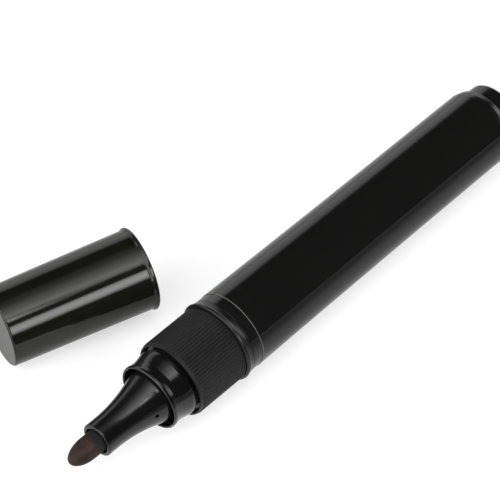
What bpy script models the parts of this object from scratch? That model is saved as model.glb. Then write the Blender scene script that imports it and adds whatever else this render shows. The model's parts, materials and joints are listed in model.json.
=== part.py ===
"""Felt tip marker lying on a table with its cap off and lying beside it.

Every round piece is a turned profile of (radius, height) corners in millimetres. On the marker,
height grows from the tail's flat end, at TAIL_END, to the nib's point, at NIB_TIP. On the cap,
height is measured from the closed end's outer face, so the mouth is at CAP_LENGTH. Two empties lay
the finished marker and cap on their sides, with the cap's axis above the X axis.
"""
import math

import bmesh
import bpy
from mathutils import Matrix, Vector

MM = 0.001

# Driving dimensions, in millimetres.
NIB_TIP = 126.0
TAIL_END = -0.45
CAP_LENGTH = 32.1
NIB_RADIUS = 2.43
NIB_POINT = 5.0  # length of the rounded point
TUBE_RADIUS = 3.69  # nozzle, where it holds the nib
BASE_RADIUS = 5.87  # nozzle, where it enters the collar
GRIP_RADIUS = 8.65  # over the ribs
RING_RADIUS = 9.16  # stop ring, the marker's widest place
TAIL_RADIUS = 8.42  # barrel with its film, at the tail
FRONT_RADIUS = 8.83  # barrel with its film, at the ring
PLUG_RADIUS = 7.15
GAP = 0.3  # between pieces that rest against each other

WALL = 1.4  # floor of the tail plug and of the cap
SPIGOT_RADIUS = 6.45  # collar's rear and the nozzle's flange, inside the holder
CAP_RADIUS = 8.30  # at the closed end
CAP_LIP_RADIUS = 8.97

# Heights along the marker.
NOZZLE_MOUTH = 118.65
FLARE_FRONT = 116.0
NOZZLE_BASE = 104.0
COLLAR_LIP = 104.1
COLLAR_REAR = 97.4
GRIP_FRONT = 98.0
GRIP_REAR = 85.4
RING_FRONT = 85.1
RING_REAR = 83.1
BARREL_FRONT = 82.8
BARREL_REAR = 3.2
FILM_FRONT = 80.6
FILM_REAR = 5.6
RESERVOIR_FRONT = 86.0
RESERVOIR_REAR = 9.0
NIB_REAR = 79.0

# Ribs and hole.
RIBS = 76
RIB_DEPTH = 0.2
BARREL_RIBS = 6
VENT_HEIGHT = 106.67
VENT_ANGLE = -78.0  # round the axis from straight up, in degrees
VENT_RADIUS = 0.42

# Barrel's skin.
FILM_THICKNESS = 0.09
FILM_GAP = 0.03

# How the two lie: the cap's closed end is this far behind the nib's point and this far aside.
CAP_BACK = 14.17
CAP_ASIDE = 34.76
CAP_TURN = 18.72  # between the two axes, seen from above, in degrees

# Sides of the round pieces.
SIDES = 40
SMALL_SIDES = 32


def start_scene():
    for obj in list(bpy.data.objects):
        bpy.data.objects.remove(obj)
    parts = bpy.data.collections.new("felt_tip_marker")
    cutters = bpy.data.collections.new("cutters")
    cutters.hide_render = True
    for collection in (parts, cutters):
        bpy.context.scene.collection.children.link(collection)
    return parts, cutters


PARTS, CUTTERS = start_scene()


def plastic(name, colour, roughness):
    material = bpy.data.materials.new(name)
    material.use_nodes = True
    shader = material.node_tree.nodes["Principled BSDF"]
    shader.inputs["Base Color"].default_value = (*colour, 1.0)
    shader.inputs["Roughness"].default_value = roughness
    shader.inputs["Metallic"].default_value = 0.0
    return material


def fillet(before, corner, after, radius, steps):
    """Points of the arc that rounds a corner of the outline."""
    corner, before, after = Vector(corner), Vector(before), Vector(after)
    to_before = (before - corner).normalized()
    to_after = (after - corner).normalized()
    half = to_before.angle(to_after) / 2
    bisector = (to_before + to_after).normalized()
    centre = corner + bisector * (radius / math.sin(half))
    first = corner + to_before * (radius / math.tan(half)) - centre
    last = corner + to_after * (radius / math.tan(half)) - centre
    turn = first.angle_signed(last)
    points = []
    for step in range(steps + 1):
        arm = first.copy()
        arm.rotate(Matrix.Rotation(-turn * step / steps, 2))
        points.append(centre + arm)
    return points


def outline(corners, closed, steps=2):
    """(radius, height) points from corners that may give a third value, their fillet."""
    points = []
    count = len(corners)
    for index, corner in enumerate(corners):
        rounded = len(corner) == 3 and (closed or 0 < index < count - 1)
        if not rounded:
            points.append(Vector(corner[:2]))
            continue
        before = corners[index - 1][:2]
        after = corners[(index + 1) % count][:2]
        points += fillet(before, corner[:2], after, corner[2], steps)
    return points


def place(obj, parent, colour, roughness):
    obj.parent = parent
    obj.data.materials.append(plastic(obj.name, colour, roughness))
    return obj


def turned(name, corners, parent, colour, roughness, sides=SIDES, steps=2):
    """A round solid. Its outline starts and ends on the axis, or closes on itself round a bore."""
    closed = corners[0][0] > 0
    points = outline(corners, closed, steps)
    mesh = bpy.data.meshes.new(name)
    edges = [(i, i + 1) for i in range(len(points) - 1)]
    if closed:
        edges.append((len(points) - 1, 0))
    mesh.from_pydata([(p.x * MM, 0, p.y * MM) for p in points], edges, [])
    obj = bpy.data.objects.new(name, mesh)
    PARTS.objects.link(obj)
    screw = obj.modifiers.new("turn", "SCREW")
    screw.steps = sides
    screw.render_steps = sides
    screw.use_smooth_shade = True
    screw.use_merge_vertices = True
    screw.merge_threshold = 0.00001
    # Half a side of turn, so that a flat and not an edge is lowest when the piece lies down.
    obj.rotation_euler.z = math.pi / sides
    return place(obj, parent, colour, roughness)


def cut(obj, cutter, operation="DIFFERENCE"):
    """Cuts the cutter from obj, or joins it to obj, and leaves the cutter as a wire guide."""
    for collection in list(cutter.users_collection):
        collection.objects.unlink(cutter)
    CUTTERS.objects.link(cutter)
    cutter.hide_render = True
    cutter.display_type = "WIRE"
    boolean = obj.modifiers.new(cutter.name, "BOOLEAN")
    boolean.operation = operation
    boolean.solver = "EXACT"
    boolean.object = cutter


def film_radius(height):
    """The film's outer radius: the barrel narrows behind the ring and is nearly straight after."""
    share = (height - FILM_REAR) / (FILM_FRONT - FILM_REAR)
    return TAIL_RADIUS + (FRONT_RADIUS - TAIL_RADIUS) * max(share, 0.0) ** 2


def barrel_radius(height):
    return film_radius(height) - FILM_THICKNESS - FILM_GAP


def nozzle_radius(height):
    """The nozzle flares from its straight tube to its base, along a parabola."""
    share = max(FLARE_FRONT - height, 0.0) / (FLARE_FRONT - NOZZLE_BASE)
    return TUBE_RADIUS + (BASE_RADIUS - TUBE_RADIUS) * share**2


def spaced(top, bottom, count):
    return [top + (bottom - top) * i / (count - 1) for i in range(count)]


def make_nib(parent):
    """Bullet point, half an ellipsoid, on a rod that ends inside the ink reservoir."""
    corners = [(0, NIB_TIP)]
    for angle in spaced(15, 90, 6):
        reach = math.radians(angle)
        height = NIB_TIP - NIB_POINT * (1 - math.cos(reach))
        corners.append((NIB_RADIUS * math.sin(reach), height))
    corners += [(NIB_RADIUS, NIB_REAR, 0.4), (0, NIB_REAR)]
    turned("nib", corners, parent, (0.06, 0.045, 0.042), 0.85, 24)


def make_nozzle(parent):
    """Tube that holds the nib, flared to a base with a flange that seats behind the collar."""
    flange_front, flange_rear = 91.7, 90.2
    flare = [(nozzle_radius(h), h) for h in spaced(FLARE_FRONT, NOZZLE_BASE, 6)]
    corners = [(TUBE_RADIUS, NOZZLE_MOUTH, 0.3)] + flare
    corners += [
        (BASE_RADIUS, flange_front),
        (SPIGOT_RADIUS, flange_front),
        (SPIGOT_RADIUS, flange_rear),
        (4.9, flange_rear),
        (4.9, NOZZLE_BASE - 1.0),
        (4.1, VENT_HEIGHT),
        (2.62, 112.0),
        (2.62, 117.6),
        (2.9, NOZZLE_MOUTH),
    ]
    nozzle = turned("nozzle", corners, parent, (0.012, 0.012, 0.011), 0.22, SMALL_SIDES)
    depth = nozzle_radius(VENT_HEIGHT)
    bpy.ops.mesh.primitive_cylinder_add(vertices=12, radius=VENT_RADIUS * MM, depth=4 * MM)
    drill = bpy.context.object
    drill.name = "vent_drill"
    drill.parent = parent
    angle = math.radians(VENT_ANGLE)
    outward = Vector((math.cos(angle), math.sin(angle), 0))
    drill.location = (outward * depth + Vector((0, 0, VENT_HEIGHT))) * MM
    drill.rotation_euler = outward.to_track_quat("Z", "Y").to_euler()
    cut(nozzle, drill)


def make_collar(parent):
    """Cup round the nozzle's base: flared lip, waist, belly, and a spigot for the holder."""
    floor = 100.5
    corners = [
        (7.15, COLLAR_LIP + 0.12),
        (7.40, COLLAR_LIP - 0.25),
        (7.36, COLLAR_LIP - 0.8),
        (7.20, 102.6),
        (7.17, 101.7),
        (7.32, 100.7),
        (7.60, 99.3),
        (7.62, 98.8),
        (7.52, 98.15),
        (7.30, COLLAR_REAR + 0.25),
        (7.00, COLLAR_REAR),
        (SPIGOT_RADIUS, COLLAR_REAR),
        (SPIGOT_RADIUS, 92.0),
        (6.12, 92.0),
        (6.12, floor),
        (6.70, floor),
        (6.70, 102.8),
        (6.92, COLLAR_LIP),
    ]
    turned("collar", corners, parent, (0.012, 0.012, 0.011), 0.2)


def make_holder(parent):
    """Neck under the grip, the stop ring, and a skirt pressed into the barrel."""
    corners = [
        (7.72, COLLAR_REAR - GAP),
        (7.72, RING_FRONT),
        (8.75, RING_FRONT),
        (RING_RADIUS, 84.5),
        (RING_RADIUS, 83.7),
        (8.90, 83.3),
        (8.72, RING_REAR),
        (7.40, RING_REAR),
        (7.40, 74.0),
        (6.80, 74.0),
        (6.80, COLLAR_REAR - GAP),
    ]
    turned("front_holder", corners, parent, (0.013, 0.013, 0.012), 0.25)


def make_grip(parent):
    """Sleeve with a plain rim in front and fine lengthwise ribs behind it."""
    rib_front, rib_rear = GRIP_FRONT - 0.65, GRIP_REAR + 0.1
    rim = GRIP_RADIUS - 0.18
    profile = [
        (rim - 0.15, GRIP_FRONT),
        (rim, GRIP_FRONT - 0.15),
        (rim, rib_front + 0.1),
        (GRIP_RADIUS, rib_front),
        (GRIP_RADIUS, rib_rear),
        (rim, GRIP_REAR),
        (7.95, GRIP_REAR),
        (7.95, GRIP_FRONT - 0.5),
        (8.10, GRIP_FRONT),
    ]
    mesh = bpy.data.meshes.new("grip_sleeve")
    shape = bmesh.new()
    points = [shape.verts.new((radius * MM, 0, height * MM)) for radius, height in profile]
    edges = [shape.edges.new((a, b)) for a, b in zip(points, points[1:] + points[:1])]
    bmesh.ops.spin(
        shape,
        geom=points + edges,
        cent=(0, 0, 0),
        axis=(0, 0, 1),
        angle=2 * math.pi,
        steps=2 * RIBS,
        use_merge=True,
    )
    half_step = math.pi / RIBS
    for vertex in shape.verts:
        x, y, height = vertex.co / MM
        index = round(math.atan2(y, x) / half_step)
        ribbed = rib_rear - 0.01 < height < rib_front + 0.01 and math.hypot(x, y) > rim
        if ribbed and index % 2:
            scale = 1 - RIB_DEPTH / GRIP_RADIUS
            vertex.co.x *= scale
            vertex.co.y *= scale
    bmesh.ops.recalc_face_normals(shape, faces=shape.faces)
    shape.to_mesh(mesh)
    shape.free()
    grip = bpy.data.objects.new("grip_sleeve", mesh)
    PARTS.objects.link(grip)
    place(grip, parent, (0.02, 0.02, 0.02), 0.6)


def make_barrel(parent):
    """Tapered tube with a rounded rear shoulder, open at both ends."""
    heights = spaced(FILM_FRONT, FILM_REAR, 5)
    corners = [(barrel_radius(FILM_FRONT) + 0.02, BARREL_FRONT)]
    corners += [(barrel_radius(height), height) for height in heights]
    corners += [
        (8.24, 5.0),
        (8.08, 4.2),
        (7.76, 3.5),
        (7.45, BARREL_REAR),
        (7.35, BARREL_REAR),
        (7.35, 20.0),
        (7.55, 72.0),
        (7.55, BARREL_FRONT),
    ]
    barrel = turned("barrel", corners, parent, (0.012, 0.012, 0.011), 0.25)
    rib_top, rib_bottom = 70.0, 12.0
    inner, outer, width = 6.75, 7.85, 0.8
    for index in range(BARREL_RIBS):
        bpy.ops.mesh.primitive_cube_add(size=1)
        rib = bpy.context.object
        rib.name = f"barrel_rib_{index + 1}"
        rib.data.transform(
            Matrix.Diagonal(((outer - inner) * MM, width * MM, (rib_top - rib_bottom) * MM, 1))
        )
        rib.parent = parent
        angle = 2 * math.pi * index / BARREL_RIBS
        middle = (inner + outer) / 2
        rib.location = Vector(
            (math.cos(angle) * middle, math.sin(angle) * middle, (rib_top + rib_bottom) / 2)
        ) * MM
        rib.rotation_euler.z = angle
        cut(barrel, rib, "UNION")


def make_film(parent):
    """Thin plain film wrapped round the barrel."""
    heights = spaced(FILM_FRONT, FILM_REAR, 5)
    outside = [(film_radius(height), height) for height in heights]
    inside = [(radius - FILM_THICKNESS, height) for radius, height in reversed(outside)]
    turned("label_film", outside + inside, parent, (0.011, 0.011, 0.011), 0.2)


def make_tail_plug(parent):
    """Cup pressed into the barrel's rear, closed by the marker's flat end."""
    floor, bore, front = TAIL_END + WALL, PLUG_RADIUS - 0.95, 8.5
    corners = [
        (0, floor),
        (bore, floor),
        (bore, front),
        (PLUG_RADIUS - 0.1, front),
        (PLUG_RADIUS, front - 0.5),
        (PLUG_RADIUS, TAIL_END, 0.7),
        (0, TAIL_END),
    ]
    turned("tail_plug", corners, parent, (0.012, 0.012, 0.011), 0.28, steps=3)


def make_reservoir(parent):
    """Fibre bundle that holds the ink, bored in front for the nib's rear, in its film wrap."""
    bore = NIB_RADIUS + 0.07
    wick = [
        (0, NIB_REAR - GAP),
        (bore, NIB_REAR - GAP),
        (bore, RESERVOIR_FRONT),
        (6.0, RESERVOIR_FRONT, 0.3),
        (6.0, RESERVOIR_REAR, 0.3),
        (0, RESERVOIR_REAR),
    ]
    turned("ink_reservoir", wick, parent, (0.03, 0.03, 0.035), 0.9, SMALL_SIDES, 1)
    inside, outside = 6.1, 6.3
    front, rear = RESERVOIR_FRONT - 0.5, RESERVOIR_REAR + 0.5
    wrap = [(outside, front), (outside, rear), (inside, rear), (inside, front)]
    turned("reservoir_wrap", wrap, parent, (0.7, 0.72, 0.74), 0.3, SMALL_SIDES)


def make_cap(parent):
    """Shell with a flared mouth and a snap bead that clicks behind the collar's lip."""
    shell = [
        (0, WALL),
        (7.35, WALL),
        (7.55, 18.0),
        (7.70, 27.4),
        (7.30, 28.1),
        (7.30, 28.5),
        (7.78, 29.2),
        (7.78, CAP_LENGTH),
        (8.75, CAP_LENGTH),
        (8.94, CAP_LENGTH - 0.25),
        (CAP_LIP_RADIUS, CAP_LENGTH - 0.6),
        (8.63, CAP_LENGTH - 1.2),
        (CAP_RADIUS, 0, 0.5),
        (0, 0),
    ]
    turned("cap_shell", shell, parent, (0.012, 0.012, 0.011), 0.18)
    base = WALL + GAP
    liner = [
        (0, base + 1.0),
        (3.95, base + 1.0),
        (3.95, 14.6),
        (3.76, 15.2),
        (3.76, 15.6),
        (4.05, 16.4),
        (4.55, 16.4),
        (4.80, 6.0),
        (4.80, base + 1.0),
        (6.9, base + 1.0),
        (6.9, base),
        (0, base),
    ]
    turned("cap_liner", liner, parent, (0.6, 0.6, 0.58), 0.4, SMALL_SIDES)


def empty(name, parent=None):
    obj = bpy.data.objects.new(name, None)
    PARTS.objects.link(obj)
    obj.parent = parent
    return obj


def corners_below(parent):
    """Every evaluated point of the pieces below an empty, in world space."""
    bpy.context.view_layer.update()
    graph = bpy.context.evaluated_depsgraph_get()
    points = []
    for obj in parent.children_recursive:
        if obj.type != "MESH" or obj.hide_render:
            continue
        shown = obj.evaluated_get(graph)
        points += [shown.matrix_world @ vertex.co for vertex in shown.data.vertices]
    return points


def lay(pose, direction, turn, front, rear, between):
    """Lays a piece on its side: its own +Z goes to direction along X, tipped so that the front
    and rear circles it rests on, given by radius, both reach the floor, and turned about Z."""
    tip = math.asin((front - rear) / between)
    pose.rotation_euler = (0, direction * math.pi / 2 - direction * tip, math.radians(turn))
    lowest = min(point.z for point in corners_below(pose))
    pose.location.z -= lowest


def main():
    layout = empty("layout")
    marker = empty("marker_pose", layout)
    cap = empty("cap_pose", layout)
    makers = (make_nib, make_nozzle, make_collar, make_holder, make_grip, make_barrel)
    for make in makers + (make_film, make_tail_plug, make_reservoir):
        make(marker)
    make_cap(cap)
    # The nib's point is at the layout's origin and the marker runs from it towards +X and +Y.
    turn = math.radians(CAP_TURN)
    along = Vector((math.cos(turn), math.sin(turn), 0))
    aside = Vector((-math.sin(turn), math.cos(turn), 0))
    marker.location = along * NIB_TIP * MM
    cap.location = (along * CAP_BACK + aside * CAP_ASIDE) * MM
    ring_middle = (RING_FRONT + RING_REAR) / 2
    lay(marker, -1, CAP_TURN, RING_RADIUS, TAIL_RADIUS, ring_middle - FILM_REAR)
    lay(cap, 1, 0, CAP_LIP_RADIUS, CAP_RADIUS, CAP_LENGTH - 1.0)
    points = corners_below(layout)
    for axis in (0, 1):
        values = [point[axis] for point in points]
        layout.location[axis] = -(min(values) + max(values)) / 2


main()
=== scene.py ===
"""Looks of the felt tip marker and its cap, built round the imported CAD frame.

Fine pieces are turned from (radius, height) outlines in millimetres, like the CAD's own. Marker
heights run from the tail's flat end, at TAIL_END, to the nib's point, at NIB_TIP, and cap heights
from the closed end to the mouth. The two flat mounts in the record give where each axis lies.
"""

import json
import math

import bmesh
import bpy
from mathutils import Matrix, Vector, noise


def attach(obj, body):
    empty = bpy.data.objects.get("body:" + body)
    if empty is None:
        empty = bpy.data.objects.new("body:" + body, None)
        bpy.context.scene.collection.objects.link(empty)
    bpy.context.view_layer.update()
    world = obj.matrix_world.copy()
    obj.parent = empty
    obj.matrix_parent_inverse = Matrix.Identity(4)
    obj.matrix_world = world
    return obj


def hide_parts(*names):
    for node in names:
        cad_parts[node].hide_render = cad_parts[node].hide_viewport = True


MM = 0.001

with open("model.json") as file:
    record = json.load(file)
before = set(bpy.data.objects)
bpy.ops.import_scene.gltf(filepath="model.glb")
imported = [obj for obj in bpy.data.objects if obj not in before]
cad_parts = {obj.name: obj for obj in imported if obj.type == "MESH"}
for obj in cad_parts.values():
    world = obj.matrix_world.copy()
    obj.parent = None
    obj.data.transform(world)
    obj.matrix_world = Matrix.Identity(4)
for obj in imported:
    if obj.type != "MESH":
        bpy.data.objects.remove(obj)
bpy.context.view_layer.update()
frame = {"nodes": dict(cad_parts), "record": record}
RECORD = frame["record"]

# Marker, millimetres.
NIB_TIP = 126.0
NIB_REAR = 79.0
TAIL_END = -0.45
NIB_RADIUS = 2.43
NIB_POINT = 5.0
TUBE_RADIUS = 3.69
BASE_RADIUS = 5.87
FLARE_FRONT = 116.0
NOZZLE_BASE = 104.0
GRIP_RADIUS = 8.65
RIBS = 76
RIB_DEPTH = 0.2
RING_RADIUS = 9.16
TAIL_RADIUS = 8.42
FRONT_RADIUS = 8.83
PLUG_RADIUS = 7.15
BARREL_FRONT = 83.02
BARREL_REAR = 3.2
FILM_FRONT = 80.6
FILM_REAR = 5.6
FILM_THICKNESS = 0.09
VENT_HEIGHT = 106.67
VENT_ANGLE = -78.0
VENT_RADIUS = 0.42

# Cap, millimetres.
CAP_LENGTH = 32.1
CAP_RADIUS = 8.30
CAP_LIP_RADIUS = 8.97

# Rounding of corners, millimetres, and shading, degrees.
SOFT_EDGE = 0.05
FILLET_STEPS = 4
SHARP_ANGLE = 40

# Black plastics, linear colours.
BLACK = (0.0056, 0.0056, 0.0055)
WORN = (0.0064, 0.0064, 0.0062)
CAP_BLACK = (0.0046, 0.0047, 0.0037)
CAP_WORN = (0.0062, 0.0063, 0.0050)


def linked(name, data):
    """A new object with this data, in the scene."""
    obj = bpy.data.objects.new(name, data)
    bpy.context.scene.collection.objects.link(obj)
    return obj


# ---------------------------------------------------------------- shapes


def lying_at(mount_name, end_height):
    """World matrix whose Z runs from a flat end along the piece, and whose X points up."""
    mount = next(m for m in RECORD["mounts"] if m["name"] == mount_name)
    along = -Vector(mount["axis"]).normalized()
    up = Vector((0, 0, 1))
    up = (up - along * up.dot(along)).normalized()
    side = along.cross(up)
    matrix = Matrix((up, side, along)).transposed().to_4x4()
    matrix.translation = Vector(mount["pos_m"]) - along * end_height * MM
    return matrix


MARKER_POSE = lying_at("tail_end", TAIL_END)
CAP_POSE = lying_at("cap_end", 0.0)


def fillet(before, corner, after, radius):
    """The arc of this radius, or of the largest that fits, which rounds a corner."""
    to_before = (before - corner).normalized()
    to_after = (after - corner).normalized()
    half = to_before.angle(to_after) / 2
    reach = radius / math.tan(half)
    reach = min(reach, 0.49 * (before - corner).length, 0.49 * (after - corner).length)
    radius = reach * math.tan(half)
    centre = corner + (to_before + to_after).normalized() * (radius / math.sin(half))
    first = corner + to_before * reach - centre
    turn = first.angle_signed(corner + to_after * reach - centre)
    points = []
    for step in range(FILLET_STEPS + 1):
        arm = first.copy()
        arm.rotate(Matrix.Rotation(-turn * step / FILLET_STEPS, 2))
        points.append(centre + arm)
    return points


def outline(corners, closed):
    """Rounds every corner, by its third value or else by SOFT_EDGE, and returns the points."""
    nearly_straight = 0.02
    flat = [Vector(corner[:2]) for corner in corners]
    count = len(flat)
    points = []
    for index, corner in enumerate(corners):
        point, before, after = flat[index], flat[index - 1], flat[(index + 1) % count]
        radius = corner[2] if len(corner) == 3 else SOFT_EDGE
        end = not closed and index in (0, count - 1)
        if end or radius == 0 or (point - before).angle(after - point) < nearly_straight:
            points.append(point)
            continue
        arc = fillet(before, point, after, radius)
        points += beside(arc[0], point, before) + arc + beside(arc[-1], point, after)
    return points


def beside(arc_end, corner, neighbour, gap=0.08):
    """A point just past a fillet on a long run, so that smooth normals turn only at the fillet."""
    run = neighbour - corner
    if (arc_end - corner).length + gap > 0.4 * run.length:
        return []
    return [arc_end + run.normalized() * gap]


def refined(points, closed, longest):
    """Splits long straight runs, so that smooth normals and noise have points to work on."""
    result = []
    count = len(points)
    for index in range(count if closed else count - 1):
        start, end = points[index], points[(index + 1) % count]
        parts = max(1, math.ceil((end - start).length / longest))
        result += [start.lerp(end, part / parts) for part in range(parts)]
    if not closed:
        result.append(points[-1])
    return result


def spin(name, corners, sides=144, longest=3.0, shape=None):
    """A round solid with smooth shading. shape(radius, height, angle) may change a radius."""
    closed = corners[0][0] > 0
    points = refined(outline(corners, closed), closed, longest)
    mesh = bpy.data.meshes.new(name)
    verts, faces, rings = [], [], []
    for point in points:
        if point.x < 1e-6:
            rings.append([len(verts)])
            verts.append((0, 0, point.y * MM))
            continue
        ring = []
        for side in range(sides):
            angle = 2 * math.pi * side / sides
            radius = shape(point.x, point.y, angle) if shape else point.x
            ring.append(len(verts))
            verts.append((radius * math.cos(angle) * MM, radius * math.sin(angle) * MM, point.y * MM))
        rings.append(ring)
    following = rings[1:] + rings[:1] if closed else rings[1:]
    for a, b in zip(rings, following):
        for side in range(sides):
            after = (side + 1) % sides
            if len(a) == 1:
                faces.append((a[0], b[side], b[after]))
            elif len(b) == 1:
                faces.append((a[side], b[0], a[after]))
            else:
                faces.append((a[side], b[side], b[after], a[after]))
    mesh.from_pydata(verts, [], faces)
    shell = bmesh.new()
    shell.from_mesh(mesh)
    bmesh.ops.recalc_face_normals(shell, faces=shell.faces)
    shell.to_mesh(mesh)
    shell.free()
    obj = linked(name, mesh)
    smooth(obj)
    return obj


def smooth(obj):
    for polygon in obj.data.polygons:
        polygon.use_smooth = True
    obj.data.set_sharp_from_angle(angle=math.radians(SHARP_ANGLE))


def film_radius(height):
    """The film's outside, a little wider towards the front."""
    share = (height - FILM_REAR) / (FILM_FRONT - FILM_REAR)
    return TAIL_RADIUS + (FRONT_RADIUS - TAIL_RADIUS) * max(share, 0.0) ** 2


def nozzle_radius(height):
    """The nozzle's outside: its tube, flared towards the base."""
    share = max(FLARE_FRONT - height, 0.0) / (FLARE_FRONT - NOZZLE_BASE)
    return TUBE_RADIUS + (BASE_RADIUS - TUBE_RADIUS) * share**2


def spaced(first, last, count):
    return [first + (last - first) * i / (count - 1) for i in range(count)]


def nib():
    corners = [(0, NIB_TIP)]
    for angle in spaced(7, 90, 12):
        reach = math.radians(angle)
        corners.append((NIB_RADIUS * math.sin(reach), NIB_TIP - NIB_POINT * (1 - math.cos(reach)), 0))
    corners += [(NIB_RADIUS, NIB_REAR, 0.4), (0, NIB_REAR)]

    def worn(radius, height, angle):
        """Pressed fibre is never quite round."""
        place = Vector((radius * math.cos(angle), radius * math.sin(angle), height * 0.6))
        return radius * (1 + 0.012 * noise.noise(place * 0.9) + 0.006 * noise.noise(place * 4.0))

    return spin("nib_felt", corners, 96, longest=1.2, shape=worn)


def nozzle():
    """Flared tube with a flange at its rear end and a drilled vent."""
    corners = [(TUBE_RADIUS, 118.65, 0.42)]
    corners += [(nozzle_radius(h), h, 0) for h in spaced(FLARE_FRONT, NOZZLE_BASE, 16)]
    corners += [
        (BASE_RADIUS, 91.7),
        (6.45, 91.7),
        (6.45, 90.2),
        (4.9, 90.2),
        (4.9, NOZZLE_BASE - 1.0),
        (4.1, VENT_HEIGHT),
        (2.62, 112.0),
        (2.62, 117.5),
        (2.95, 118.65, 0.12),
    ]
    body = spin("nozzle_body", corners, 144)
    drill = bpy.data.meshes.new("vent_drill")
    cutter = bmesh.new()
    bmesh.ops.create_cone(
        cutter,
        cap_ends=True,
        segments=24,
        radius1=VENT_RADIUS * MM,
        radius2=VENT_RADIUS * MM,
        depth=4 * MM,
    )
    angle = math.radians(VENT_ANGLE)
    outward = Vector((math.cos(angle), math.sin(angle), 0))
    turn = outward.to_track_quat("Z", "Y").to_matrix().to_4x4()
    place = (outward * nozzle_radius(VENT_HEIGHT) + Vector((0, 0, VENT_HEIGHT))) * MM
    cutter.transform(Matrix.Translation(place) @ turn)
    cutter.to_mesh(drill)
    cutter.free()
    tool = linked("vent_drill", drill)
    boolean = body.modifiers.new("vent", "BOOLEAN")
    boolean.object = tool
    boolean.solver = "EXACT"
    graph = bpy.context.evaluated_depsgraph_get()
    cut = bpy.data.meshes.new_from_object(body.evaluated_get(graph))
    body.modifiers.clear()
    body.data = cut
    bpy.data.objects.remove(tool)
    smooth(body)
    return body


def collar():
    """Cup with a flared lip, a waist that the cap's bead sits in, and a shoulder by the grip."""
    corners = [
        (7.10, 104.22, 0.10),
        (7.36, 104.02, 0.18),
        (7.40, 103.60, 0.25),
        (7.22, 102.7, 1.0),
        (7.17, 101.7, 1.5),
        (7.32, 100.7, 2.0),
        (7.60, 99.4, 1.0),
        (7.62, 98.65, 0.35),
        (7.20, 98.0, 0.3),
        (7.00, 97.4),
        (6.45, 97.4),
        (6.45, 92.0),
        (6.12, 92.0),
        (6.12, 100.5),
        (6.70, 100.5),
        (6.70, 102.8),
        (6.90, 104.05, 0.1),
    ]
    return spin("collar_cup", corners, 160, longest=1.5)


def holder():
    """Sleeve inside the grip, the stop ring, and a spigot into the barrel."""
    corners = [
        (7.72, 97.1),
        (7.72, 85.1),
        (8.70, 85.15, 0.10),
        (9.10, 84.95, 0.25),
        (RING_RADIUS, 84.62, 0.25),
        (8.95, 84.10, 0.50),
        (8.80, 83.40, 0.50),
        (8.77, 83.1, 0.02),
        (7.40, 83.1),
        (7.40, 74.0),
        (6.80, 74.0),
        (6.80, 97.1),
    ]
    return spin("holder_ring", corners, 160)


def grip():
    """Plain front rim, then fine ribs whose ends run out in a short slope."""
    rim = GRIP_RADIUS - 0.18
    rib_front, rib_rear = 97.35, 85.5
    corners = [
        (rim - 0.02, 98.0, 0.08),
        (rim, 97.7, 0),
        (rim, rib_front + 0.12, 0),
        (GRIP_RADIUS, rib_front, 0.05),
        (GRIP_RADIUS, rib_rear, 0.05),
        (rim, 85.22),
        (7.95, 85.22),
        (7.95, 97.5),
        (8.10, 98.0),
    ]

    def ribbed(radius, height, angle):
        if radius < rim + 0.01:
            return radius
        wave = 0.5 - 0.5 * math.cos(RIBS * angle)
        share = (radius - rim) / (GRIP_RADIUS - rim)
        return radius - RIB_DEPTH * share * wave**1.6

    return spin("grip_ribs", corners, RIBS * 10, longest=2.0, shape=ribbed)


def barrel():
    """Open tube that lies just under the film, with a rounded rear shoulder."""
    gap = 0.12
    corners = [(film_radius(FILM_FRONT) - gap + 0.04, BARREL_FRONT, 0.03)]
    corners += [(film_radius(h) - gap, h, 0) for h in spaced(FILM_FRONT, FILM_REAR, 16)]
    corners += [
        (8.22, 4.7, 0.8),
        (7.95, 3.6, 0.5),
        (7.45, BARREL_REAR, 0.15),
        (7.35, BARREL_REAR),
        (7.35, 20.0, 0),
        (7.55, 72.0, 0),
        (7.55, BARREL_FRONT),
    ]
    return spin("barrel_tube", corners, 160)


def film():
    """Thin wrap round the barrel."""
    heights = spaced(FILM_FRONT, FILM_REAR, 40)
    outside = [(film_radius(h), h, 0) for h in heights]
    outside[0] = (*outside[0][:2], 0.04)
    outside[-1] = (*outside[-1][:2], 0.03)
    inside = [(radius - FILM_THICKNESS, height, 0) for radius, height, _ in reversed(outside)]

    def wavy(radius, height, angle):
        """The wrap isn't drawn quite tight, most near its front edge."""
        near = max(0.0, 1 - (FILM_FRONT - height) / 26.0)
        place = Vector((math.cos(angle) * 2.2, math.sin(angle) * 2.2, height * 0.11))
        return radius + (0.006 + 0.010 * near) * noise.noise(place)

    return spin("film_wrap", outside + inside, 160, shape=wavy)


def tail():
    """Plug with a flat outer end, hollow towards the barrel."""
    corners = [
        (0, 0.95),
        (6.2, 0.95, 0.2),
        (6.2, 8.5),
        (7.05, 8.5),
        (PLUG_RADIUS, 8.0),
        (PLUG_RADIUS, TAIL_END, 0.7),
        (0, TAIL_END),
    ]
    return spin("tail_cup", corners, 144)


def cap():
    """Closed at height 0, with a snap bead inside and a thickened lip at the mouth."""
    corners = [
        (0, 1.4),
        (7.35, 1.4, 0.5),
        (7.55, 18.0, 0),
        (7.70, 27.4, 0.3),
        (7.30, 28.1, 0.2),
        (7.30, 28.5, 0.2),
        (7.78, 29.2, 0.2),
        (7.78, CAP_LENGTH, 0.12),
        (8.70, CAP_LENGTH, 0.2),
        (CAP_LIP_RADIUS, CAP_LENGTH - 0.3, 0.2),
        (8.96, CAP_LENGTH - 0.65, 0.2),
        (8.63, CAP_LENGTH - 1.2, 0.5),
        (CAP_RADIUS, 0, 0.5),
        (0, 0),
    ]
    return spin("cap_body", corners, 160)


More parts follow.
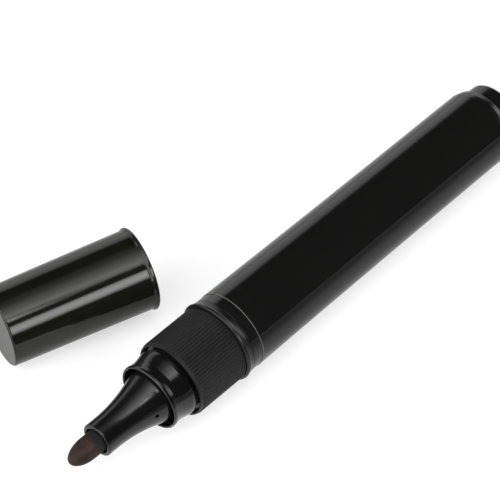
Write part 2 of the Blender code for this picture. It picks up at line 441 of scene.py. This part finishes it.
def liner():
    """Inner cup, with a bead that closes round the nozzle's tube."""
    corners = [
        (0, 2.7),
        (3.95, 2.7),
        (3.95, 14.6),
        (3.76, 15.2, 0.2),
        (3.76, 15.6, 0.2),
        (4.05, 16.4),
        (4.55, 16.4, 0.15),
        (4.80, 6.0, 0),
        (4.80, 2.7, 0.4),
        (6.9, 2.7),
        (6.9, 1.7),
        (0, 1.7),
    ]
    return spin("cap_tube", corners, 112)


# ---------------------------------------------------------------- materials


def node(tree, kind, **values):
    """A new node. Each value sets the socket of its name, or else the node's own property."""
    made = tree.nodes.new(kind)
    for key, value in values.items():
        if key in made.inputs:
            made.inputs[key].default_value = value
        else:
            setattr(made, key.lower(), value)
    return made


def axes(tree, coordinates):
    """The sockets X, Y and Z of some coordinates."""
    split = node(tree, "ShaderNodeSeparateXYZ")
    tree.links.new(coordinates, split.inputs["Vector"])
    return split.outputs


def noise_at(tree, coordinates, stretch, scale, detail=3.0, rough=0.55):
    """Noise over the piece's own coordinates. stretch squeezes it along X, Y and Z."""
    mapping = node(tree, "ShaderNodeMapping")
    mapping.inputs["Scale"].default_value = stretch
    tree.links.new(coordinates, mapping.inputs["Vector"])
    texture = node(tree, "ShaderNodeTexNoise")
    texture.inputs["Scale"].default_value = scale
    texture.inputs["Detail"].default_value = detail
    texture.inputs["Roughness"].default_value = rough
    tree.links.new(mapping.outputs["Vector"], texture.inputs["Vector"])
    return texture.outputs["Fac"]


def spread(tree, value, low, high, start=0.3, end=0.7):
    """Maps the middle of a noise to low..high."""
    mapped = node(tree, "ShaderNodeMapRange")
    mapped.inputs["From Min"].default_value = start
    mapped.inputs["From Max"].default_value = end
    mapped.inputs["To Min"].default_value = low
    mapped.inputs["To Max"].default_value = high
    tree.links.new(value, mapped.inputs["Value"])
    return mapped.outputs["Result"]


def blend(tree, factor, first, second):
    """Mixes two colours, each a constant or a socket."""
    mixed = tree.nodes.new("ShaderNodeMix")
    mixed.data_type = "RGBA"
    tree.links.new(factor, mixed.inputs[0])
    for socket, colour in ((mixed.inputs[6], first), (mixed.inputs[7], second)):
        if isinstance(colour, tuple):
            socket.default_value = (*colour, 1.0)
        else:
            tree.links.new(colour, socket)
    return mixed.outputs[2]


def start_material(name):
    material = bpy.data.materials.new(name)
    material.use_nodes = True
    tree = material.node_tree
    shader = tree.nodes["Principled BSDF"]
    coordinates = node(tree, "ShaderNodeTexCoord").outputs["Object"]
    return material, tree, shader, coordinates


def bumped(tree, shader, *layers):
    """Adds bumps one on another. Each layer is (height, strength, distance)."""
    normal = None
    for height, strength, distance in layers:
        bump = node(tree, "ShaderNodeBump")
        bump.inputs["Strength"].default_value = strength
        bump.inputs["Distance"].default_value = distance
        tree.links.new(height, bump.inputs["Height"])
        if normal:
            tree.links.new(normal, bump.inputs["Normal"])
        normal = bump.outputs["Normal"]
    tree.links.new(normal, shader.inputs["Normal"])


def moulded(name, base, worn, roughness, ripple=0.0, ior=1.42):
    """Plastic: faint cloudy tone, uneven gloss, drawn lines along the axis, fine grain."""
    material, tree, shader, where = start_material(name)
    clouds = noise_at(tree, where, (1, 1, 0.4), 260)
    lines = noise_at(tree, where, (1, 1, 0.15), 2600, 4)
    speckle = noise_at(tree, where, (1, 1, 1), 7000, 2)
    waves = noise_at(tree, where, (1, 1, 0.35), 110, 1.5)
    tree.links.new(blend(tree, spread(tree, clouds, 0, 1), base, worn), shader.inputs["Base Color"])
    gloss = spread(tree, lines, roughness[0], roughness[1])
    tree.links.new(gloss, shader.inputs["Roughness"])
    shader.inputs["IOR"].default_value = ior
    layers = [(lines, 0.12, 0.00001), (speckle, 0.06, 0.00001)]
    if ripple:
        layers.insert(0, (waves, ripple, 0.0001))
    bumped(tree, shader, *layers)
    return material


def black(name, roughness, ripple=0.0, ior=1.42):
    """The marker's own black plastic."""
    return moulded(name, BLACK, WORN, roughness, ripple, ior)


def wrapped(name):
    """The film's glossy black, paler along its cut front edge."""
    material = black(name, (0.07, 0.11), 0.02)
    tree = material.node_tree
    shader = tree.nodes["Principled BSDF"]
    where = node(tree, "ShaderNodeTexCoord").outputs["Object"]
    edge_start, edge_end = (FILM_FRONT - 0.18) * MM, (FILM_FRONT - 0.10) * MM
    edge = spread(tree, axes(tree, where)["Z"], 0, 1, edge_start, edge_end)
    plastic = shader.inputs["Base Color"].links[0].from_socket
    tree.links.new(blend(tree, edge, plastic, (0.10, 0.095, 0.085)), shader.inputs["Base Color"])
    return material


def soft_grip(name):
    """Matt elastomer: cloudy dark grey with a little dust and a pebbled skin."""
    material, tree, shader, where = start_material(name)
    clouds = noise_at(tree, where, (1, 1, 0.5), 420)
    pebbles = noise_at(tree, where, (1, 1, 0.7), 5200, 4, 0.65)
    dust = noise_at(tree, where, (1, 1, 0.2), 1500, 5, 0.7)
    dark, light, dusted = (0.0036, 0.0036, 0.0036), (0.0062, 0.0062, 0.0061), (0.018, 0.018, 0.0178)
    plain = blend(tree, spread(tree, clouds, 0, 1), dark, light)
    dusty = blend(tree, spread(tree, dust, 0, 0.5, 0.55, 0.8), plain, dusted)
    tree.links.new(dusty, shader.inputs["Base Color"])
    tree.links.new(spread(tree, pebbles, 0.42, 0.6), shader.inputs["Roughness"])
    shader.inputs["IOR"].default_value = 1.36
    bumped(tree, shader, (pebbles, 0.25, 0.00003), (dust, 0.1, 0.00002))
    return material


def felt(name):
    """Pressed fibre: slate grey neck, reddish brown point, olive tip, lengthwise fibres."""
    material, tree, shader, where = start_material(name)
    stain_start, stain_end = 120.0 * MM, 121.4 * MM
    tip_start, tip_end = 124.4 * MM, 126.2 * MM
    waver = 0.7 * MM
    blotch = noise_at(tree, where, (1, 1, 0.8), 420, 4)
    fibres = noise_at(tree, where, (1, 1, 0.12), 4200, 5, 0.6)
    pores = noise_at(tree, where, (1, 1, 0.6), 5200, 3, 0.6)
    height = node(tree, "ShaderNodeMath", operation="MULTIPLY_ADD")
    tree.links.new(spread(tree, blotch, -1, 1), height.inputs[0])
    height.inputs[1].default_value = waver
    tree.links.new(axes(tree, where)["Z"], height.inputs[2])
    stained = spread(tree, height.outputs[0], 0, 1, stain_start, stain_end)
    tip = spread(tree, height.outputs[0], 0, 1, tip_start, tip_end)
    neck = blend(tree, spread(tree, fibres, 0, 1), (0.004, 0.004, 0.0045), (0.011, 0.011, 0.012))
    point = blend(tree, spread(tree, blotch, 0, 1), (0.006, 0.0045, 0.0045), (0.048, 0.020, 0.015))
    lower = blend(tree, stained, neck, point)
    whole = blend(tree, tip, lower, (0.022, 0.015, 0.010))
    shade = blend(tree, spread(tree, pores, 0, 0.55, 0.5, 0.75), whole, (0.004, 0.003, 0.003))
    tree.links.new(shade, shader.inputs["Base Color"])
    tree.links.new(spread(tree, fibres, 0.6, 0.9), shader.inputs["Roughness"])
    shader.inputs["Specular IOR Level"].default_value = 0.25
    bumped(tree, shader, (fibres, 0.5, 0.00005), (pores, 0.4, 0.00004))
    return material


def wick(name):
    """Ink-soaked fibre bundle."""
    material, tree, shader, where = start_material(name)
    fibres = noise_at(tree, where, (1, 1, 0.05), 3000, 5)
    clouds = noise_at(tree, where, (1, 1, 1), 200)
    strands = blend(tree, spread(tree, fibres, 0, 1), (0.006, 0.006, 0.009), (0.035, 0.033, 0.042))
    soaked = blend(tree, spread(tree, clouds, 0, 0.6), strands, (0.012, 0.010, 0.018))
    tree.links.new(soaked, shader.inputs["Base Color"])
    tree.links.new(spread(tree, fibres, 0.7, 0.95), shader.inputs["Roughness"])
    bumped(tree, shader, (fibres, 0.6, 0.00008))
    return material


def milky(name):
    """Thin milky film with ink bleeding through in places."""
    material, tree, shader, where = start_material(name)
    clouds = noise_at(tree, where, (1, 1, 0.3), 160, 4)
    creases = noise_at(tree, where, (1, 1, 0.1), 900, 3)
    tone = blend(tree, spread(tree, clouds, 0, 1), (0.42, 0.43, 0.45), (0.66, 0.67, 0.68))
    tree.links.new(tone, shader.inputs["Base Color"])
    tree.links.new(spread(tree, creases, 0.2, 0.4), shader.inputs["Roughness"])
    bumped(tree, shader, (creases, 0.2, 0.00004))
    return material


# ---------------------------------------------------------------- pieces

# Builder, material, slot, body and the CAD node that the piece replaces.
PIECES = (
    (nib, felt("nib_felt"), "nib_felt", "marker", "nib"),
    (nozzle, black("nozzle_black", (0.15, 0.22)), "nozzle_plastic", "marker", "nozzle"),
    (collar, black("collar_black", (0.12, 0.17), 0.02), "collar_plastic", "marker", "collar"),
    (holder, black("holder_black", (0.2, 0.26), ior=1.35), "holder_plastic", "marker", "front_holder"),
    (grip, soft_grip("grip_black"), "grip_rubber", "marker", "grip_sleeve"),
    (barrel, black("barrel_black", (0.1, 0.16)), "barrel_plastic", "marker", "barrel"),
    (film, wrapped("film_black"), "film_plastic", "marker", "label_film"),
    (tail, black("plug_black", (0.14, 0.2)), "plug_plastic", "marker", "tail_plug"),
    (cap, moulded("cap_black", CAP_BLACK, CAP_WORN, (0.08, 0.13)), "cap_plastic", "cap", "cap_shell"),
    (
        liner,
        moulded("liner_grey", (0.08, 0.08, 0.078), (0.12, 0.12, 0.117), (0.3, 0.42)),
        "liner_plastic",
        "cap",
        "cap_liner",
    ),
)

for build, material, slot, body, cad_node in PIECES:
    piece = build()
    piece.data.materials.clear()
    piece.data.materials.append(material)
    piece.matrix_world = MARKER_POSE if body == "marker" else CAP_POSE
    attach(piece, body)
    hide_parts(cad_node)

# The inner pieces keep their CAD meshes.
INNER = (("ink_reservoir", wick("wick_fibre")), ("reservoir_wrap", milky("wrap_milky")))

for cad_node, material in INNER:
    inner = frame["nodes"][cad_node]
    inner.data.materials.clear()
    inner.data.materials.append(material)


# ---------------------------------------------------------------- studio


def smooth_step(tree, socket, start, end, top):
    """Rises smoothly from 0 at start to top at end."""
    mapped = node(tree, "ShaderNodeMapRange")
    mapped.interpolation_type = "SMOOTHSTEP"
    mapped.inputs["From Min"].default_value = start
    mapped.inputs["From Max"].default_value = end
    mapped.inputs["To Min"].default_value = 0.0
    mapped.inputs["To Max"].default_value = top
    tree.links.new(socket, mapped.inputs["Value"])
    return mapped.outputs["Result"]


def combined(tree, operation, first, second):
    """A maths node on a socket, and on another socket or a number."""
    made = node(tree, "ShaderNodeMath", operation=operation)
    tree.links.new(first, made.inputs[0])
    if isinstance(second, float):
        made.inputs[1].default_value = second
    else:
        tree.links.new(second, made.inputs[1])
    return made.outputs[0]


def flat_sheet(name, width, height):
    """A level rectangle round the origin, facing up."""
    x, y = width / 2, height / 2
    mesh = bpy.data.meshes.new(name)
    mesh.from_pydata([(-x, -y, 0), (x, -y, 0), (x, y, 0), (-x, y, 0)], [], [(0, 1, 2, 3)])
    return linked(name, mesh)


def bare_material(name):
    """A material with no nodes yet, and its node tree."""
    material = bpy.data.materials.new(name)
    material.use_nodes = True
    material.node_tree.nodes.clear()
    return material, material.node_tree


def show(tree, shader):
    """Makes a shader the material's surface."""
    output = node(tree, "ShaderNodeOutputMaterial")
    tree.links.new(shader, output.inputs["Surface"])


def floor():
    """A light table: white acrylic that glows a little, so that shadows stay faint."""
    side = 12.0
    plane = flat_sheet("floor", side, side)
    plane.location.z = -0.05 * MM
    material, tree, shader, where = start_material("floor_white")
    paper = noise_at(tree, where, (1, 1, 1), 900, 3)
    tone = blend(tree, spread(tree, paper, 0, 1), (0.44, 0.44, 0.44), (0.46, 0.46, 0.46))
    tree.links.new(tone, shader.inputs["Base Color"])
    shader.inputs["Roughness"].default_value = 0.9
    shader.inputs["Specular IOR Level"].default_value = 0.1
    shader.inputs["Emission Color"].default_value = (1.0, 1.0, 1.0, 1.0)
    shader.inputs["Emission Strength"].default_value = 0.6
    material.cycles.emission_sampling = "NONE"
    plane.data.materials.append(material)


def painted_shade():
    """Painted shade: a dark sheet on the table that only the gloss sees, standing in for the shade
    round the pieces in their reflections. It is thin by the nozzle, and thickest in front on the
    right."""
    side = 1.0
    square_to_marker = (0.321, -0.947, 0)
    by_nozzle = (-0.042, -0.036, 0)
    sheet = flat_sheet("table_dimmer", side, side)
    sheet.location.z = -0.02 * MM
    sheet.visible_camera = False
    sheet.visible_diffuse = False
    sheet.visible_shadow = False
    material, tree = bare_material("table_dimmer")
    where = node(tree, "ShaderNodeTexCoord").outputs["Object"]
    across = node(tree, "ShaderNodeVectorMath", operation="DOT_PRODUCT")
    tree.links.new(where, across.inputs[0])
    across.inputs[1].default_value = square_to_marker
    front = smooth_step(tree, across.outputs["Value"], 0.022, 0.062, 0.4)
    from_nozzle = node(tree, "ShaderNodeVectorMath", operation="DISTANCE")
    tree.links.new(where, from_nozzle.inputs[0])
    from_nozzle.inputs[1].default_value = by_nozzle
    clear = smooth_step(tree, from_nozzle.outputs["Value"], 0.022, 0.045, 1.0)
    share = combined(tree, "MULTIPLY", combined(tree, "ADD", front, 0.36), clear)
    mixed = node(tree, "ShaderNodeMixShader")
    tree.links.new(share, mixed.inputs[0])
    tree.links.new(node(tree, "ShaderNodeBsdfTransparent").outputs[0], mixed.inputs[1])
    # Painted shade: the near-black surface darkens the table in the plastics' reflections only.
    dark = node(tree, "ShaderNodeBsdfDiffuse")
    dark.inputs["Color"].default_value = (0.002, 0.002, 0.002, 1)
    tree.links.new(dark.outputs[0], mixed.inputs[2])
    show(tree, mixed.outputs[0])
    sheet.data.materials.append(material)


def panel(name, centre, facing, width, height, radiance, stops, side_fade=0.12):
    """A glowing sheet out of the camera's sight. stops are (share of height, share of radiance)."""
    sheet = flat_sheet(name, width, height)
    sheet.location = centre
    sheet.rotation_euler = facing.to_track_quat("Z", "Y").to_euler()
    sheet.visible_camera = False
    material, tree = bare_material(name)
    place = axes(tree, node(tree, "ShaderNodeTexCoord").outputs["Generated"])
    ramp = node(tree, "ShaderNodeValToRGB")
    ramp.color_ramp.interpolation = "LINEAR"
    while len(ramp.color_ramp.elements) < len(stops):
        ramp.color_ramp.elements.new(0.5)
    for element, (share, level) in zip(ramp.color_ramp.elements, stops):
        element.position = share
        element.color = (level, level, level, 1)
    tree.links.new(place["Y"], ramp.inputs["Fac"])
    near = smooth_step(tree, place["X"], 0, side_fade, 1)
    far = smooth_step(tree, place["X"], 1, 1 - side_fade, 1)
    level = combined(tree, "MULTIPLY", combined(tree, "MULTIPLY", near, far), ramp.outputs["Color"])
    glow = node(tree, "ShaderNodeEmission")
    tree.links.new(combined(tree, "MULTIPLY", level, radiance), glow.inputs["Strength"])
    show(tree, glow.outputs[0])
    sheet.data.materials.append(material)
    return sheet


def towards(azimuth, elevation):
    """Unit vector, azimuth in degrees from +X to +Y."""
    turn, rise = math.radians(azimuth), math.radians(elevation)
    return Vector((math.cos(turn) * math.cos(rise), math.sin(turn) * math.cos(rise), math.sin(rise)))


def shade_from(sheet, names):
    """Keeps one sheet's light off these pieces, as a flag between them would."""
    shaded = bpy.data.collections.new(sheet.name + "_shaded")
    for name in names:
        shaded.objects.link(bpy.data.objects[name])
    for member in shaded.collection_objects:
        member.light_linking.link_state = "EXCLUDE"
    sheet.light_linking.receiver_collection = shaded


def studio_world():
    """Dark room with a pale wall low at the back and bright walls at the left and right."""
    world = bpy.data.worlds.new("studio")
    world.use_nodes = True
    bpy.context.scene.world = world
    tree = world.node_tree
    background = tree.nodes["Background"]
    where = node(tree, "ShaderNodeTexCoord").outputs["Generated"]
    look = axes(tree, where)
    behind = smooth_step(tree, look["Y"], 0.3, 0.6, 1.0)
    low = smooth_step(tree, look["Z"], 0.52, 0.32, 1.1)
    back = combined(tree, "MULTIPLY", behind, low)
    left = smooth_step(tree, look["X"], -0.5, -0.7, 3.2)
    rightward = smooth_step(tree, look["X"], 0.78, 0.9, 1.0)
    raised = smooth_step(tree, look["Z"], 0.12, 0.26, 3.0)
    right = combined(tree, "MULTIPLY", rightward, raised)
    sides = combined(tree, "MAXIMUM", left, right)
    total = combined(tree, "MAXIMUM", back, sides)
    tree.links.new(total, background.inputs["Strength"])
    background.inputs["Color"].default_value = (1.0, 1.0, 1.0, 1.0)


def camera():
    """Looks down at the table over the nib, from the left of the cap's axis."""
    azimuth, elevation, distance = -27.93, 50.5, 0.7
    target = Vector((-0.00137, 0.01481, 0))
    data = bpy.data.cameras.new("camera")
    data.sensor_width = 36.0
    data.lens = 243.4
    data.clip_start = 0.05
    obj = linked("camera", data)
    turn, rise = math.radians(azimuth), math.radians(elevation)
    back = Vector((math.sin(turn) * math.cos(rise), -math.cos(turn) * math.cos(rise), math.sin(rise)))
    obj.location = target + back * distance
    obj.rotation_euler = (math.pi / 2 - rise, 0, turn)
    bpy.context.scene.camera = obj


floor()
painted_shade()
studio_world()
# The strip box stands low in front on the right, the key box above it, and the top box overhead.
strip = panel(
    "strip_box",
    towards(-80, 32) * 0.9,
    towards(-80, 32),
    0.52,
    0.42,
    8.5,
    [(0.0, 0.0), (0.2, 0.6), (0.42, 1.0), (0.58, 1.0), (0.8, 0.85), (0.94, 0.5), (1.0, 0.0)],
    0.05,
)
shade_from(strip, ("nozzle_body", "collar_cup"))
panel(
    "key_box",
    towards(-86, 62) * 0.8,
    towards(-86, 62),
    0.16,
    0.17,
    10.0,
    [(0.0, 0.0), (0.3, 1.0), (0.7, 1.0), (1.0, 0.0)],
    0.3,
)
panel(
    "top_box",
    Vector((-0.23, 0.03, 0.8)),
    Vector((0, 0.0001, -1)),
    1.15,
    0.96,
    4.1,
    [
        (0.0, 0.0),
        (0.2, 0.1),
        (0.3, 0.14),
        (0.4, 0.25),
        (0.48, 0.39),
        (0.64, 0.62),
        (0.79, 1.0),
        (0.89, 0.9),
        (1.0, 0.3),
    ],
)
camera()
bpy.context.scene.view_settings.view_transform = "Standard"
